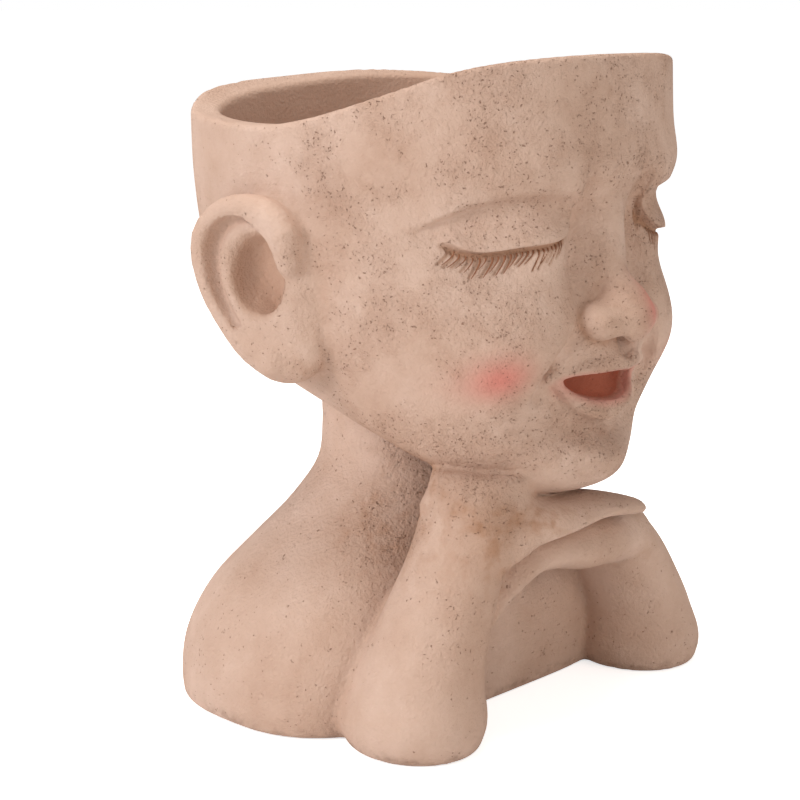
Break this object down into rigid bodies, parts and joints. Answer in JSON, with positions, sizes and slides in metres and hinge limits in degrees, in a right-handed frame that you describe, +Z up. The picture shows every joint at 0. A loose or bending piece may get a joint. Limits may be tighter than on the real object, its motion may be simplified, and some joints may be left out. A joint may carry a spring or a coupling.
{
  "type": "head planter",
  "caption": "Cast planter in the form of a smiling, doll-like head that rests its chin on its crossed hands, with an open crown for a plant.",
  "frame": {"origin": "centre of the footprint, on the surface that the planter stands on", "axes": "+Z up, -Y the way the face looks, +X towards the figure's left side"},
  "size_m": [0.202, 0.1883, 0.2503],
  "materials": {
    "cast_clay": "matte, pitted, brown wash in the pits",
    "plug_rubber": "matte"
  },
  "bodies": {
    "casting": {"head_bowl": "cast_clay", "bust": "cast_clay", "right_forearm": "cast_clay", "left_forearm": "cast_clay", "right_hand": "cast_clay", "left_hand": "cast_clay", "right_ear": "cast_clay", "left_ear": "cast_clay"},
    "plug": {"drain_plug": "plug_rubber"}
  },
  "joints": [
    {"name": "plug_lift", "type": "slide", "parent": "casting", "child": "plug", "axis": [0, 0, 1], "range_m": [0, 0.18]}
  ]
}
